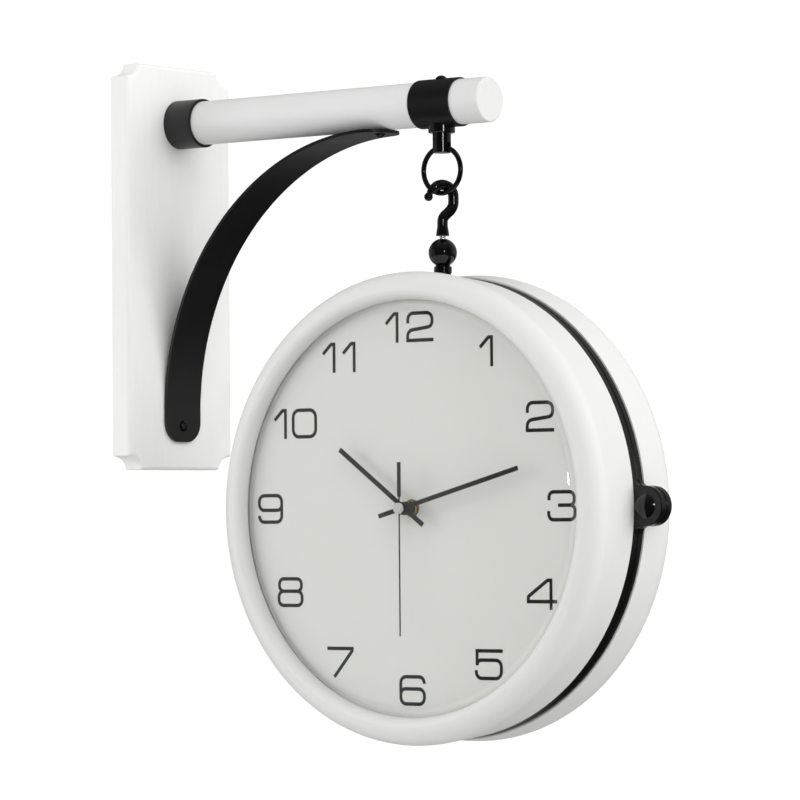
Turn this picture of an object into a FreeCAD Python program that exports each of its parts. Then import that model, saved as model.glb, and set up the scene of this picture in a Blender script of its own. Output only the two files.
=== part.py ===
import FreeCAD, Part
import math
import os

# Double sided station clock on a wall bracket.
# Millimetres, +Z up. The origin is on the wall plane (back face of the wall
# plate) at the height of the arm's axis. +X runs along the arm away from the
# wall, and the front dial faces -Y.

V = FreeCAD.Vector

# ---------------------------------------------------------------- wall plate
PLATE_T = 15.0
PLATE_HALF_W = 54.5
PLATE_TOP = 40.0
PLATE_BOTTOM = -239.0
PLATE_COVE_W = 13.2            # half axes of the elliptical cove at each corner
PLATE_COVE_H = 9.3
PLATE_TIP_R = 1.0
PLATE_EDGE_R = 2.6
KEY_Z = (-62.0, -182.0)        # centres of the keyhole entry circles
KEY_ENTRY_R = 4.5
KEY_SLOT_R = 2.3
KEY_SLOT_UP = 11.0
KEY_PLATE = (1.5, 17.0, 44.0)  # thickness, width, height

# ----------------------------------------------------------------------- arm
ARM_R = 15.0
ARM_SOCKET = 6.0
ARM_END = 282.3
ARM_EDGE = 1.2
COLLAR_R = 16.8
COLLAR_L = 23.0
SLEEVE_R = 16.3
SLEEVE_L = 33.2
HANG_X = 242.5                 # plane of the sleeve's centre and of the clock

# --------------------------------------------------------------------- brace
STRAP_W = 36.0
STRAP_T = 2.2
STRAP_END_R = 14.0
STRAP_TIP_R = 16.0
STRAP_A = 178.0                # half axes of the quarter ellipse, outer face
STRAP_B = 185.0
STRAP_FOOT_Z = -219.8
STRAP_TIP_X = 201.6
STRAP_SCREW_Z = -208.5
STRAP_SCREW_X = 191.0

# --------------------------------------------------------------------- chain
STUB_FLANGE_R = 8.9
STUB_FLANGE_Z = -19.8
STUB_R = 6.1
STUB_Z = -33.0
RING_R = 15.2
RING_WIRE_R = 1.7
RING_Z = -44.3
EYE_R = 1.87
EYE_MOUTH_R = 3.2
EYE_LAND = 0.8
HOOK_R = 7.7
HOOK_WIRE_R = 3.5
HOOK_Z = -61.7
HOOK_TURN = 55.0               # the hook's plane, degrees from the arm's plane
HOOK_NECK_Z = -87.8
PIN_R = 2.0
PIN_HEAD_R = 3.4
BALL_R = 9.4
BALL_Z = -98.85
BALL_BORE_R = 3.75
SHOULDER_Z = -93.45

# --------------------------------------------------------------------- clock
CLOCK_Z = -267.4
SEAM_Y = -2.3                  # plane where the front shell meets the hoops
RIM_RHO = 142.3                # crest circle of the rounded rim
RIM_R = 12.3
RIM_D = 33.1
SEAM_R = 152.1
OPEN_R = 136.3
OPEN_D = 38.0
SHOULDER_D = 36.4
POCKET_R = 139.6
DIAL_R = 139.4
DIAL_T = 1.5
DIAL_D = 33.6                  # face of the dial
GASKET_T = 0.8
LENS_T = 2.0
LENS_APEX = 53.5
LENS_DOME_R = 1000.0
LENS_WALL = 1.8
WALL = 2.4
BAND_W = 11.7
BAND_IN_R = 147.7
SPIGOT_T = 1.9
EAR_RHO = 160.5
EAR_R = 13.0
EAR_ROOT_R = 6.0
EAR_EDGE_R = 0.6
EAR_HOLE_R = 2.6

# --------------------------------------------------------------------- hands
HOUR_D = 41.4
MINUTE_D = 44.3
SECOND_D = 47.2
CAP_D = 49.8
HOUR_ANGLE = 306.25            # clockwise from twelve, ten past ten
MINUTE_ANGLE = 75.0
SECOND_ANGLE = 180.0
HAND_T = 0.6

os.makedirs("parts", exist_ok=True)


def save(name, shape):
    solids = shape.Solids
    if not solids:
        raise RuntimeError(name + " holds no solid")
    out = solids[0] if len(solids) == 1 else Part.makeCompound(solids)
    if not out.isValid():
        print("not valid:", name)
    out.exportStep("parts/" + name + ".step")
    b = out.BoundBox
    print(
        "%-20s solids %d  volume %9.1f  x %.1f..%.1f y %.1f..%.1f z %.1f..%.1f"
        % (name, len(solids), out.Volume, b.XMin, b.XMax, b.YMin, b.YMax, b.ZMin, b.ZMax)
    )
    return out


def cyl(r, h, p, d=V(0, 0, 1)):
    return Part.makeCylinder(r, h, p, d)


def box(x0, y0, z0, x1, y1, z1):
    return Part.makeBox(x1 - x0, y1 - y0, z1 - z0, V(x0, y0, z0))


def turned(points, arcs=None):
    """Closed profile of (rho, z) pairs turned about the Z axis through the origin.
    An entry of three pairs in a tuple tagged 'arc' is a three point arc."""
    edges = []
    last = None
    first = None
    for item in points:
        if item[0] == "arc":
            mid, end = V(item[1][0], 0, item[1][1]), V(item[2][0], 0, item[2][1])
            edges.append(Part.Arc(last, mid, end).toShape())
            last = end
        else:
            p = V(item[0], 0, item[1])
            if last is None:
                first = p
            elif (p - last).Length > 1e-7:
                edges.append(Part.LineSegment(last, p).toShape())
            last = p
    if (last - first).Length > 1e-7:
        edges.append(Part.LineSegment(last, first).toShape())
    face = Part.Face(Part.Wire(edges))
    return face.revolve(V(0, 0, 0), V(0, 0, 1), 360)


def place(shape, origin, axis, spin=0.0):
    """Moves a shape that was built about +Z so that its +Z points along axis."""
    s = shape.copy()
    rot = FreeCAD.Rotation(V(0, 0, 1), axis)
    move = FreeCAD.Placement(origin, rot.multiply(FreeCAD.Rotation(V(0, 0, 1), spin)))
    s.Placement = move.multiply(s.Placement)
    return s


def dial_frame(shape, spin=0.0):
    """Built about +Z with +Z towards the viewer and +Y to twelve: moved on to the
    front of the clock. spin turns it clockwise as the viewer sees it."""
    s = shape.copy()
    # local X to the viewer's right (+X), local Y up (+Z), local Z to -Y
    m = FreeCAD.Rotation(V(1, 0, 0), V(0, 0, 1), V(0, -1, 0), "XYZ")
    r = m.multiply(FreeCAD.Rotation(V(0, 0, 1), -spin))
    s.Placement = FreeCAD.Placement(V(HANG_X, SEAM_Y, CLOCK_Z), r).multiply(s.Placement)
    return s


def rear(shape):
    """The same piece on the other side of the clock."""
    s = shape.copy()
    s.rotate(V(HANG_X, SEAM_Y, 0), V(0, 0, 1), 180)
    return s


def screw(head_r, head_h, shank_r, shank_l, style="dome", slot=True):
    """A screw about +Z: head above z = 0, shank below it."""
    if style == "dome":
        big = (head_r * head_r + head_h * head_h) / (2 * head_h)
        a = math.asin(head_r / big) / 2
        mid = (big * math.sin(a), head_h - big + big * math.cos(a))
        pts = [(0, head_h), ("arc", mid, (head_r, 0)), (shank_r, 0), (shank_r, -shank_l + shank_r), (0, -shank_l)]
        s = turned(pts)
    else:
        # countersunk: the head's top is at z = 0
        pts = [(0, 0), (head_r, 0), (shank_r, -(head_r - shank_r)), (shank_r, -shank_l + shank_r), (0, -shank_l)]
        s = turned(pts)
    if slot:
        top = head_h if style == "dome" else 0.0
        depth = 0.45 * head_h if style == "dome" else 0.5 * (head_r - shank_r)
        w, l = head_r * 0.22, head_r * 1.0
        for a in (0, 90):
            c = Part.makeBox(l, w, depth + 1.0, V(-l / 2, -w / 2, top - depth))
            c.rotate(V(0, 0, 0), V(0, 0, 1), a)
            s = s.cut(c)
    return s


# ================================================================ WALL PLATE
def cove_outline():
    """Plate outline in the YZ plane with a concave elliptical cove at each corner."""
    w, t, b = PLATE_HALF_W, PLATE_TOP, PLATE_BOTTOM
    a, h = PLATE_COVE_W, PLATE_COVE_H

    def cove(sy, cz, sz):
        """From the top or bottom edge to the side edge; sz is +1 at the top."""
        el = Part.Ellipse(V(0, sy * w + a, cz), V(0, sy * w, cz + h), V(0, sy * w, cz))
        p, q = V(0, sy * (w - a), cz), V(0, sy * w, cz - sz * h)
        u0, u1 = el.parameter(p), el.parameter(q)
        if abs(u1 - u0) > math.pi:
            u0, u1 = (u0, u1 + 2 * math.pi) if u1 < u0 else (u0 + 2 * math.pi, u1)
        return Part.ArcOfEllipse(el, min(u0, u1), max(u0, u1)).toShape()

    e = [
        cove(1, t, 1),
        Part.LineSegment(V(0, w, t - h), V(0, w, b + h)).toShape(),
        cove(1, b, -1),
        Part.LineSegment(V(0, w - a, b), V(0, -w + a, b)).toShape(),
        cove(-1, b, -1),
        Part.LineSegment(V(0, -w, b + h), V(0, -w, t - h)).toShape(),
        cove(-1, t, 1),
        Part.LineSegment(V(0, -w + a, t), V(0, w - a, t)).toShape(),
    ]
    return Part.Wire(Part.__sortEdges__(e))


plate = Part.Face(cove_outline()).extrude(V(PLATE_T, 0, 0))
tips = [e for e in plate.Edges if e.BoundBox.YLength < 1e-4 and e.BoundBox.ZLength < 1e-4]
plate = plate.makeFillet(PLATE_TIP_R, tips)
front_edges = [e for e in plate.Edges if abs(e.BoundBox.XMin - PLATE_T) < 1e-4 and abs(e.BoundBox.XMax - PLATE_T) < 1e-4]
plate = plate.makeFillet(PLATE_EDGE_R, front_edges)
# socket for the arm, and the countersunk hole behind it
plate = plate.cut(cyl(ARM_R, ARM_SOCKET + 1, V(PLATE_T - ARM_SOCKET, 0, 0), V(1, 0, 0)))
plate = plate.cut(cyl(2.6, 20, V(-1, 0, 0), V(1, 0, 0)))
plate = plate.cut(Part.makeCone(5.4, 2.6, 2.8, V(0, 0, 0), V(1, 0, 0)))
# pilot hole for the brace's foot screw
plate = plate.cut(cyl(1.9, 12.5, V(PLATE_T - 12.0, 0, STRAP_SCREW_Z), V(1, 0, 0)))

kt, kw, kh = KEY_PLATE
key_plates, key_screws = [], []
for kz in KEY_Z:
    mid = kz + 4.0
    pocket = box(0, -kw / 2, mid - kh / 2, kt, kw / 2, mid + kh / 2)
    plate = plate.cut(pocket)
    # room for the wall screw's head behind the slot
    room = box(0, -6.0, kz - 5.5, 10.0, 6.0, kz + KEY_SLOT_UP + 5.5)
    plate = plate.cut(room)
    kp = box(0, -kw / 2, mid - kh / 2, kt, kw / 2, mid + kh / 2)
    kp = kp.cut(cyl(KEY_ENTRY_R, 4, V(-1, 0, kz), V(1, 0, 0)))
    kp = kp.cut(cyl(KEY_SLOT_R, 4, V(-1, 0, kz + KEY_SLOT_UP), V(1, 0, 0)))
    kp = kp.cut(box(-1, -KEY_SLOT_R, kz, 3, KEY_SLOT_R, kz + KEY_SLOT_UP))
    for sz in (mid - kh / 2 + 5.0, mid + kh / 2 - 5.0):
        kp = kp.cut(Part.makeCone(3.0, 1.5, 1.5, V(0, 0, sz), V(1, 0, 0)))
        kp = kp.cut(cyl(1.5, 4, V(-1, 0, sz), V(1, 0, 0)))
        plate = plate.cut(cyl(1.5, 10.5, V(0, 0, sz), V(1, 0, 0)))
        key_screws.append(place(screw(3.0, 0, 1.5, 10.0, "flat"), V(0, 0, sz), V(-1, 0, 0)))
    key_plates.append(kp)
save("wall_plate", plate)
save("keyhole_plates", Part.makeCompound(key_plates))
save("keyhole_screws", Part.makeCompound(key_screws))

# ======================================================================= ARM
arm = cyl(ARM_R, ARM_END - (PLATE_T - ARM_SOCKET), V(PLATE_T - ARM_SOCKET, 0, 0), V(1, 0, 0))
end_edge = [e for e in arm.Edges if abs(e.BoundBox.XMin - ARM_END) < 1e-4 and abs(e.BoundBox.XMax - ARM_END) < 1e-4]
arm = arm.makeFillet(ARM_EDGE, end_edge)
arm = arm.cut(cyl(2.6, 42, V(0, 0, 0), V(1, 0, 0)))                         # arm screw
arm = arm.cut(cyl(1.6, 14, V(STRAP_SCREW_X, 0, -ARM_R - 1), V(0, 0, 1)))    # brace head screw
arm = arm.cut(cyl(2.5, 19, V(HANG_X, 0, -ARM_R - 1), V(0, 0, 1)))           # stub stud
arm = arm.cut(cyl(1.6, 12.5, V(HANG_X, 0, 4.0), V(0, 0, 1)))                # sleeve screw
save("arm", arm)

arm_screw = place(screw(5.2, 0, 2.6, 41.5, "flat"), V(0.2, 0, 0), V(-1, 0, 0))
save("arm_screw", arm_screw)

collar = cyl(COLLAR_R, COLLAR_L, V(PLATE_T, 0, 0), V(1, 0, 0)).cut(
    cyl(ARM_R, COLLAR_L + 2, V(PLATE_T - 1, 0, 0), V(1, 0, 0))
)
ring_edges = [e for e in collar.Edges if abs(e.BoundBox.XMax - (PLATE_T + COLLAR_L)) < 1e-4 and abs(e.BoundBox.XMin - (PLATE_T + COLLAR_L)) < 1e-4 and e.BoundBox.ZMax > COLLAR_R - 0.1]
collar = collar.makeFillet(0.6, ring_edges)
save("arm_collar", collar)

# ===================================================================== BRACE
# outer face: up the plate, a quarter ellipse, then along the arm's underside
ex, ez = PLATE_T + STRAP_A, STRAP_B * -1.0 - ARM_R


def strap_edges(off):
    a, b = STRAP_A - off, STRAP_B - off
    el = Part.Ellipse(V(ex, 0, ez), b, a)
    # major axis up, minor axis towards the wall
    el = Part.Ellipse(V(ex, 0, ez + b), V(ex - a, 0, ez), V(ex, 0, ez))
    pts = []
    n = 28
    for i in range(n + 1):
        t = math.pi / 2 * i / n
        pts.append(V(ex - a * math.cos(t), 0, ez + b * math.sin(t)))
    return pts


outer = strap_edges(0.0)
inner = strap_edges(STRAP_T)


def spline(pts, t0, t1):
    c = Part.BSplineCurve()
    c.interpolate(Points=pts, InitialTangent=t0, FinalTangent=t1)
    return c.toShape()


e1 = Part.LineSegment(V(PLATE_T, 0, STRAP_FOOT_Z), outer[0]).toShape()
e2 = spline(outer, V(0, 0, 1), V(1, 0, 0))
e3 = Part.LineSegment(outer[-1], V(STRAP_TIP_X, 0, -ARM_R)).toShape()
e4 = Part.LineSegment(V(STRAP_TIP_X, 0, -ARM_R), V(STRAP_TIP_X, 0, -ARM_R - STRAP_T)).toShape()
e5 = Part.LineSegment(V(STRAP_TIP_X, 0, -ARM_R - STRAP_T), inner[-1]).toShape()
e6 = spline(list(reversed(inner)), V(-1, 0, 0), V(0, 0, -1))
e7 = Part.LineSegment(inner[0], V(PLATE_T + STRAP_T, 0, STRAP_FOOT_Z)).toShape()
e8 = Part.LineSegment(V(PLATE_T + STRAP_T, 0, STRAP_FOOT_Z), V(PLATE_T, 0, STRAP_FOOT_Z)).toShape()
face = Part.Face(Part.Wire([e1, e2, e3, e4, e5, e6, e7, e8]))
face.translate(V(0, -STRAP_W / 2, 0))
strap = face.extrude(V(0, STRAP_W, 0))
# rounded ends
for sy in (-1, 1):
    r = STRAP_END_R
    foot = box(PLATE_T - 1, min(sy * (STRAP_W / 2 - r), sy * (STRAP_W / 2 + 1)), STRAP_FOOT_Z - 1,
               PLATE_T + STRAP_T + 1, max(sy * (STRAP_W / 2 - r), sy * (STRAP_W / 2 + 1)), STRAP_FOOT_Z + r)
    foot = foot.cut(cyl(r, STRAP_T + 4, V(PLATE_T - 2, sy * (STRAP_W / 2 - r), STRAP_FOOT_Z + r), V(1, 0, 0)))
    strap = strap.cut(foot)
    r = STRAP_TIP_R
    tip = box(STRAP_TIP_X - r, min(sy * (STRAP_W / 2 - r), sy * (STRAP_W / 2 + 1)), -ARM_R - STRAP_T - 1.5,
              STRAP_TIP_X + 1, max(sy * (STRAP_W / 2 - r), sy * (STRAP_W / 2 + 1)), -ARM_R + 1)
    tip = tip.cut(cyl(r, STRAP_T + 5, V(STRAP_TIP_X - r, sy * (STRAP_W / 2 - r), -ARM_R - STRAP_T - 2), V(0, 0, 1)))
    strap = strap.cut(tip)
strap = strap.cut(cyl(1.95, 6, V(PLATE_T - 1, 0, STRAP_SCREW_Z), V(1, 0, 0)))
strap = strap.cut(cyl(1.95, 6, V(STRAP_SCREW_X, 0, -ARM_R - STRAP_T - 2), V(0, 0, 1)))
save("brace_strap", strap)
save("brace_foot_screw", place(screw(4.2, 2.6, 1.9, 14.0), V(PLATE_T + STRAP_T, 0, STRAP_SCREW_Z), V(1, 0, 0)))
z_under = ez + (STRAP_B - STRAP_T) * math.sqrt(max(0.0, 1 - ((ex - STRAP_SCREW_X) / (STRAP_A - STRAP_T)) ** 2))
save("brace_head_screw", place(screw(3.8, 2.4, 1.6, 14.6), V(STRAP_SCREW_X, 0, z_under), V(0, 0, -1)).cut(strap))

# ==================================================================== SLEEVE
sx0 = HANG_X - SLEEVE_L / 2
sleeve = cyl(SLEEVE_R, SLEEVE_L, V(sx0, 0, 0), V(1, 0, 0)).cut(cyl(ARM_R, SLEEVE_L + 2, V(sx0 - 1, 0, 0), V(1, 0, 0)))
rims = [e for e in sleeve.Edges if e.BoundBox.XLength < 1e-4 and e.BoundBox.ZMax > SLEEVE_R - 0.1]
sleeve = sleeve.makeFillet(0.5, rims)
sleeve = sleeve.cut(cyl(2.5, 8, V(HANG_X, 0, -SLEEVE_R - 2), V(0, 0, 1)))
sleeve = sleeve.cut(cyl(1.6, 8, V(HANG_X, 0, SLEEVE_R - 3), V(0, 0, 1)))
save("arm_sleeve", sleeve)
save("sleeve_screw", place(screw(3.9, 2.2, 1.6, 12.0), V(HANG_X, 0, SLEEVE_R), V(0, 0, 1)))

# ====================================================================== STUB
stub = turned([(0, STUB_Z), (STUB_R - 0.6, STUB_Z), (STUB_R, STUB_Z + 0.6), (STUB_R, STUB_FLANGE_Z),
               (STUB_FLANGE_R - 0.6, STUB_FLANGE_Z), (STUB_FLANGE_R, STUB_FLANGE_Z + 0.6),
               (STUB_FLANGE_R, -13.0), (0, -13.0)])
stub.translate(V(HANG_X, 0, 0))
stub = stub.cut(cyl(SLEEVE_R, 40, V(HANG_X - 20, 0, 0), V(1, 0, 0)))
stub = stub.fuse(cyl(2.5, 20.0, V(HANG_X, 0, -17.5), V(0, 0, 1)))
eye_z = RING_Z + RING_R
eye = cyl(EYE_R, 30, V(HANG_X - 15, 0, eye_z), V(1, 0, 0))
for s in (-1, 1):
    eye = eye.fuse(Part.makeCone(EYE_R, EYE_MOUTH_R, STUB_R - EYE_LAND / 2, V(HANG_X + s * EYE_LAND / 2, 0, eye_z), V(s, 0, 0)))
stub = stub.cut(eye).removeSplitter()
save("ring_stub", stub)

# ====================================================================== RING
ring = Part.makeTorus(RING_R, RING_WIRE_R, V(HANG_X, 0, RING_Z), V(0, 1, 0))
save("hang_ring", ring)

# ====================================================================== HOOK
ca, sa = math.cos(math.radians(HOOK_TURN)), math.sin(math.radians(HOOK_TURN))


def hp(e, z):
    return V(HANG_X + e * ca, e * sa, z)


def rim(t):
    return (HOOK_R * math.cos(math.radians(t)), HOOK_Z + HOOK_R * math.sin(math.radians(t)))


def line(p, q):
    return Part.LineSegment(hp(*p), hp(*q)).toShape()


def bend(centre, r, a0, a1):
    """Arc of the wire's centre line in the hook's plane, angles in degrees."""
    q = [(centre[0] + r * math.cos(math.radians(a)), centre[1] + r * math.sin(math.radians(a)))
         for a in (a0, (a0 + a1) / 2, a1)]
    return Part.Arc(hp(*q[0]), hp(*q[1]), hp(*q[2])).toShape()


# centre line: straight neck, an S out to the side, a straight limb, over the crown
S_ANGLE = 47.0
S_LOW_R, S_HIGH_R = 6.0, 8.5
sc, ss = math.cos(math.radians(S_ANGLE)), math.sin(math.radians(S_ANGLE))
s_run = (HOOK_R - (S_LOW_R + S_HIGH_R) * (1 - sc)) / ss
LIMB_END_Z = HOOK_Z - 3.4
s_top = (HOOK_R, LIMB_END_Z)
p_high = (HOOK_R - S_HIGH_R * (1 - sc), LIMB_END_Z - S_HIGH_R * ss)
p_low = (p_high[0] - s_run * ss, p_high[1] - s_run * sc)
p_neck = (0.0, p_low[1] - S_LOW_R * ss)
neck_end = (0.0, HOOK_NECK_Z + 0.6)
T_TAPER, T_TIP = 118.0, 166.0
path = Part.Wire([
    line(neck_end, p_neck),
    bend((S_LOW_R, p_neck[1]), S_LOW_R, 180.0, 180.0 - S_ANGLE),
    line(p_low, p_high),
    bend((HOOK_R - S_HIGH_R, LIMB_END_Z), S_HIGH_R, -S_ANGLE, 0.0),
    line(s_top, (HOOK_R, HOOK_Z)),
    bend((0.0, HOOK_Z), HOOK_R, 0.0, T_TAPER),
])


def section(c, t, rr):
    """Circle of the hook's wire: c is its centre, t the way the wire runs."""
    tang = V(t[0] * ca, t[0] * sa, t[1])
    binorm = V(-sa, ca, 0)
    m = FreeCAD.Rotation(binorm, tang.cross(binorm), tang, "XYZ")
    w = Part.Wire([Part.makeCircle(rr, V(0, 0, 0), V(0, 0, 1))])
    w.Placement = FreeCAD.Placement(hp(*c), m)
    return w


hook = path.makePipeShell([section(neck_end, (0, 1), HOOK_WIRE_R)], True, False)
rings = []
n = 8
for i in range(n + 1):
    f = i / n
    tr = math.radians(T_TAPER + (T_TIP - T_TAPER) * f)
    c = (HOOK_R * math.cos(tr) - 1.6 * f * f, HOOK_Z + HOOK_R * math.sin(tr))
    # the way the wire runs as it opens out a little towards its tip
    dt = math.radians(T_TIP - T_TAPER)
    tx_, tz_ = -HOOK_R * math.sin(tr) * dt - 3.2 * f, HOOK_R * math.cos(tr) * dt
    tl = math.hypot(tx_, tz_)
    rings.append(section(c, (tx_ / tl, tz_ / tl), HOOK_WIRE_R + (2.0 - HOOK_WIRE_R) * f ** 1.5))
end = Part.makeLoft(rings, True, False)
tip = Part.makeSphere(2.9, hp(c[0] - 0.5, c[1] - 2.2))
flare = turned([(0, HOOK_NECK_Z), (4.35, HOOK_NECK_Z), (4.35, HOOK_NECK_Z + 1.0), (HOOK_WIRE_R, HOOK_NECK_Z + 6.5), (0, HOOK_NECK_Z + 6.5)])
flare.translate(V(HANG_X, 0, 0))
hook = hook.fuse([end, tip, flare]).removeSplitter()
hook = hook.cut(cyl(PIN_R, 9.0, V(HANG_X, 0, HOOK_NECK_Z - 1), V(0, 0, 1)))
save("swivel_hook", hook)

# ================================================================= PIN, BALL
pin = cyl(PIN_R, HOOK_NECK_Z + 8.0 - (SHOULDER_Z - 1.0), V(HANG_X, 0, SHOULDER_Z - 1.0), V(0, 0, 1))
pin = pin.fuse(cyl(PIN_HEAD_R, 1.6, V(HANG_X, 0, SHOULDER_Z - 0.1 - 1.6), V(0, 0, 1)))
save("swivel_pin", pin)

ball = Part.makeSphere(BALL_R, V(HANG_X, 0, BALL_Z))
ball = ball.cut(box(HANG_X - 10, -10, BALL_Z + BALL_R - 0.5, HANG_X + 10, 10, BALL_Z + BALL_R + 1))
ball = ball.cut(box(HANG_X - 10, -10, BALL_Z - BALL_R - 1, HANG_X + 10, 10, BALL_Z - BALL_R + 1.0))
ball = ball.cut(cyl(PIN_R + 0.06, 20, V(HANG_X, 0, SHOULDER_Z - 1), V(0, 0, 1)))
ball = ball.cut(cyl(BALL_BORE_R, SHOULDER_Z + 120, V(HANG_X, 0, -120), V(0, 0, 1)))
save("swivel_ball", ball)

# the stud goes through the front hoop at the clock's top
seat = CLOCK_Z + SEAM_R

# nut and washer on the stud, under the hoop
nz = CLOCK_Z + BAND_IN_R
flat = box(HANG_X - 5, -5.0, nz - 9, HANG_X + 5, 5.0, nz + 3)
under = cyl(BAND_IN_R, 60, V(HANG_X, -30, CLOCK_Z), V(0, 1, 0))
pts = [V(4.05 * math.cos(math.radians(60 * i)), 4.05 * math.sin(math.radians(60 * i)), 0) for i in range(7)]
nut = Part.Face(Part.makePolygon(pts)).extrude(V(0, 0, 3.2))
nut.translate(V(HANG_X, 0, nz - 5.0))
washer = cyl(4.4, 2.6, V(HANG_X, 0, nz - 1.8), V(0, 0, 1)).common(under)
nutw = nut.fuse(washer).cut(cyl(2.0, 20, V(HANG_X, 0, nz - 12), V(0, 0, 1)))
save("stem_nut", nutw)

# ===================================================================== HOOPS
mid_d = -BAND_W / 2
ch = 0.9


def dprof(points):
    """Turned in dial coordinates: (rho, d), d towards the viewer."""
    return dial_frame(turned(points))


def hoop(d_case, d_mid, sgn):
    """d_case is the side on the shell, d_mid the joint with the other hoop.
    sgn is +1 where the shell lies towards the viewer."""
    spig = d_case + sgn * 7.0
    lo, hi = min(d_case, d_mid), max(d_case, d_mid)
    # one outline: the hoop's circle, with an ear on each side on concave roots
    rc = SEAM_R + EAR_ROOT_R
    re = EAR_R + EAR_ROOT_R
    cx = (rc * rc - re * re + EAR_RHO * EAR_RHO) / (2 * EAR_RHO)
    cy = math.sqrt(rc * rc - cx * cx)
    foot = (cx * SEAM_R / rc, cy * SEAM_R / rc)
    touch = (EAR_RHO + (cx - EAR_RHO) * EAR_R / re, cy * EAR_R / re)
    mx, my = (foot[0] + touch[0]) / 2 - cx, (foot[1] + touch[1]) / 2 - cy
    mn = math.hypot(mx, my)
    bend = (cx + mx / mn * EAR_ROOT_R, cy + my / mn * EAR_ROOT_R)

    def p(xy, fx=1, fy=1):
        return V(fx * xy[0], fy * xy[1], lo)

    ol = [Part.Arc(p(foot), V(0, SEAM_R, lo), p(foot, -1)).toShape()]
    ol.append(Part.Arc(p(foot, -1), p(bend, -1), p(touch, -1)).toShape())
    ol.append(Part.Arc(p(touch, -1), V(-EAR_RHO - EAR_R, 0, lo), p(touch, -1, -1)).toShape())
    ol.append(Part.Arc(p(touch, -1, -1), p(bend, -1, -1), p(foot, -1, -1)).toShape())
    ol.append(Part.Arc(p(foot, -1, -1), V(0, -SEAM_R, lo), p(foot, 1, -1)).toShape())
    ol.append(Part.Arc(p(foot, 1, -1), p(bend, 1, -1), p(touch, 1, -1)).toShape())
    ol.append(Part.Arc(p(touch, 1, -1), V(EAR_RHO + EAR_R, 0, lo), p(touch)).toShape())
    ol.append(Part.Arc(p(touch), p(bend), p(foot)).toShape())
    h = Part.Face(Part.Wire(ol)).extrude(V(0, 0, hi - lo))

    def around(level):
        return [e for e in h.Edges if abs(e.BoundBox.ZMin - level) < 1e-4 and abs(e.BoundBox.ZMax - level) < 1e-4]

    h = h.makeChamfer(ch, around(d_mid))
    h = h.makeFillet(EAR_EDGE_R, around(d_case))
    h = h.cut(Part.makeCylinder(BAND_IN_R, 60, V(0, 0, -30)))
    for s in (-1, 1):
        h = h.cut(Part.makeCylinder(EAR_HOLE_R, 60, V(s * EAR_RHO, 0, -30)))
    # the spigot that enters the shell, and tabs for the screws into the shell
    root = d_case - sgn * 2.5
    sp_out = SEAM_R - WALL - 0.1
    body = turned([(BAND_IN_R, root), (sp_out, root), (sp_out, spig), (BAND_IN_R, spig)])
    for a in (45, 135, 225, 315):
        z0 = min(spig, spig - sgn * 2.0)
        tab = Part.makeBox(9.4, 9.0, 2.0, V(139.6, -4.5, z0)).fuse(Part.makeCylinder(4.5, 2.0, V(142.6, 0, z0)))
        tab = tab.cut(Part.makeCylinder(1.6, 60, V(142.6, 0, -30))).removeSplitter()
        tab.rotate(V(0, 0, 0), V(0, 0, 1), a)
        body = body.fuse(tab)
    h = h.fuse(body)
    return dial_frame(h)


front_band = hoop(0.0, mid_d, 1)
rear_band = hoop(-BAND_W, mid_d, -1)
stud_hole = cyl(2.0, 30, V(HANG_X, 0, seat - 22), V(0, 0, 1))
front_band = front_band.cut(stud_hole)
rear_band = rear_band.cut(stud_hole)


save("front_band", front_band)
save("rear_band", rear_band)

# screws and nuts through the ears
screws, nuts = [], []
for s in (-1, 1):
    x = HANG_X + s * EAR_RHO
    screws.append(place(screw(7.8, 3.4, EAR_HOLE_R - 0.1, BAND_W + 5.0, slot=False), V(x, SEAM_Y, CLOCK_Z), V(0, -1, 0)))
    dome = turned([(0, 8.2), ("arc", (3.9, 6.9), (5.6, 3.6)), (5.6, 0), (EAR_HOLE_R - 0.1, 0), (EAR_HOLE_R - 0.1, 5.0), (0, 5.0)])
    nuts.append(place(dome, V(x, SEAM_Y + BAND_W, CLOCK_Z), V(0, 1, 0)))
save("ear_screws", Part.makeCompound(screws))
save("ear_nuts", Part.makeCompound(nuts))

# ==================================================================== SHELLS
def tangent_point(ax, ay, cx, cy, r):
    """Where the line from (ax, ay) touches the circle, on the outer side."""
    dx, dy = ax - cx, ay - cy
    dist = math.hypot(dx, dy)
    base = math.atan2(dy, dx)
    off = math.acos(r / dist)
    return cx + r * math.cos(base + off), cy + r * math.sin(base + off)


def on_arc(cx, cy, r, a):
    return cx + r * math.cos(math.radians(a)), cy + r * math.sin(math.radians(a))


tx, ty = tangent_point(SEAM_R, 0.0, RIM_RHO, RIM_D, RIM_R)
a0 = math.degrees(math.atan2(ty - RIM_D, tx - RIM_RHO))
crest = (RIM_RHO, RIM_D + RIM_R)
# inner lip: quarter ellipse from the crest down to the opening, as two arcs
la, lb = RIM_RHO - OPEN_R, crest[1] - OPEN_D


def lip(t):
    return RIM_RHO - la * math.sin(math.radians(t)), OPEN_D + lb * math.cos(math.radians(t))


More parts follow.
